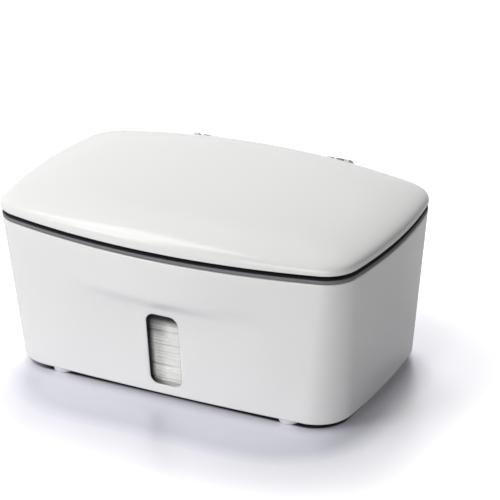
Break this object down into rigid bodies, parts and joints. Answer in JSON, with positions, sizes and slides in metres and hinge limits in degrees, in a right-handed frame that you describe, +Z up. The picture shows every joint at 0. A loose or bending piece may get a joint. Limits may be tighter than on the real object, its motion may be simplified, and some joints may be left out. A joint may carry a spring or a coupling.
{
  "type": "wipes dispenser",
  "caption": "White tub with a gasketed, back-hinged lid, a front window that shows the folded wipes, and a weighted plate that rides down on them.",
  "frame": {"origin": "centre of the overall box, on the surface that the feet stand on", "axes": "+X to the right as seen from the front (the longest way), -Y towards the front with the window, +Z up"},
  "size_m": [0.222, 0.1458, 0.1079],
  "materials": {
    "white_shell": "smooth satin gloss",
    "white_liner": "fine matt",
    "grey_silicone": "matt",
    "foot_silicone": "matt",
    "clear_pane": "clear, polished",
    "steel": "plain",
    "wipe_cloth": "soft, moist non-woven cloth"
  },
  "bodies": {
    "tub": {"body_shell": "white_shell", "window_pane": "clear_pane", "foot_front_left": "foot_silicone", "foot_front_right": "foot_silicone", "foot_rear_left": "foot_silicone", "foot_rear_right": "foot_silicone", "wipe_layer_01": "wipe_cloth", "wipe_layer_02": "wipe_cloth", "wipe_layer_03": "wipe_cloth", "wipe_layer_04": "wipe_cloth", "wipe_layer_05": "wipe_cloth", "wipe_layer_06": "wipe_cloth", "wipe_layer_07": "wipe_cloth", "wipe_layer_08": "wipe_cloth", "wipe_layer_09": "wipe_cloth", "wipe_layer_10": "wipe_cloth", "wipe_layer_11": "wipe_cloth"},
    "lid": {"lid_shell": "white_shell", "lid_liner": "white_liner", "lid_gasket": "grey_silicone", "hinge_pin_left": "steel", "hinge_pin_right": "steel"},
    "stack_top": {"top_wipe": "wipe_cloth"},
    "weighted_plate": {"plate_cover": "white_liner", "plate_base": "white_liner", "plate_weight": "steel"}
  },
  "joints": [
    {"name": "lid_hinge", "type": "hinge", "parent": "tub", "child": "lid", "pos_m": [0, 0.06999, 0.0968], "axis": [-1, 0, 0], "range_deg": [0, 100]},
    {"name": "stack_level", "type": "slide", "parent": "tub", "child": "stack_top", "axis": [0, 0, 1], "range_m": [-0.0418, 0], "deforming": ["wipe_layer_01", "wipe_layer_02", "wipe_layer_03", "wipe_layer_04", "wipe_layer_05", "wipe_layer_06", "wipe_layer_07", "wipe_layer_08", "wipe_layer_09", "wipe_layer_10", "wipe_layer_11"]},
    {"name": "plate_lift", "type": "slide", "parent": "stack_top", "child": "weighted_plate", "axis": [0, 0, 1], "range_m": [0, 0.022]}
  ]
}
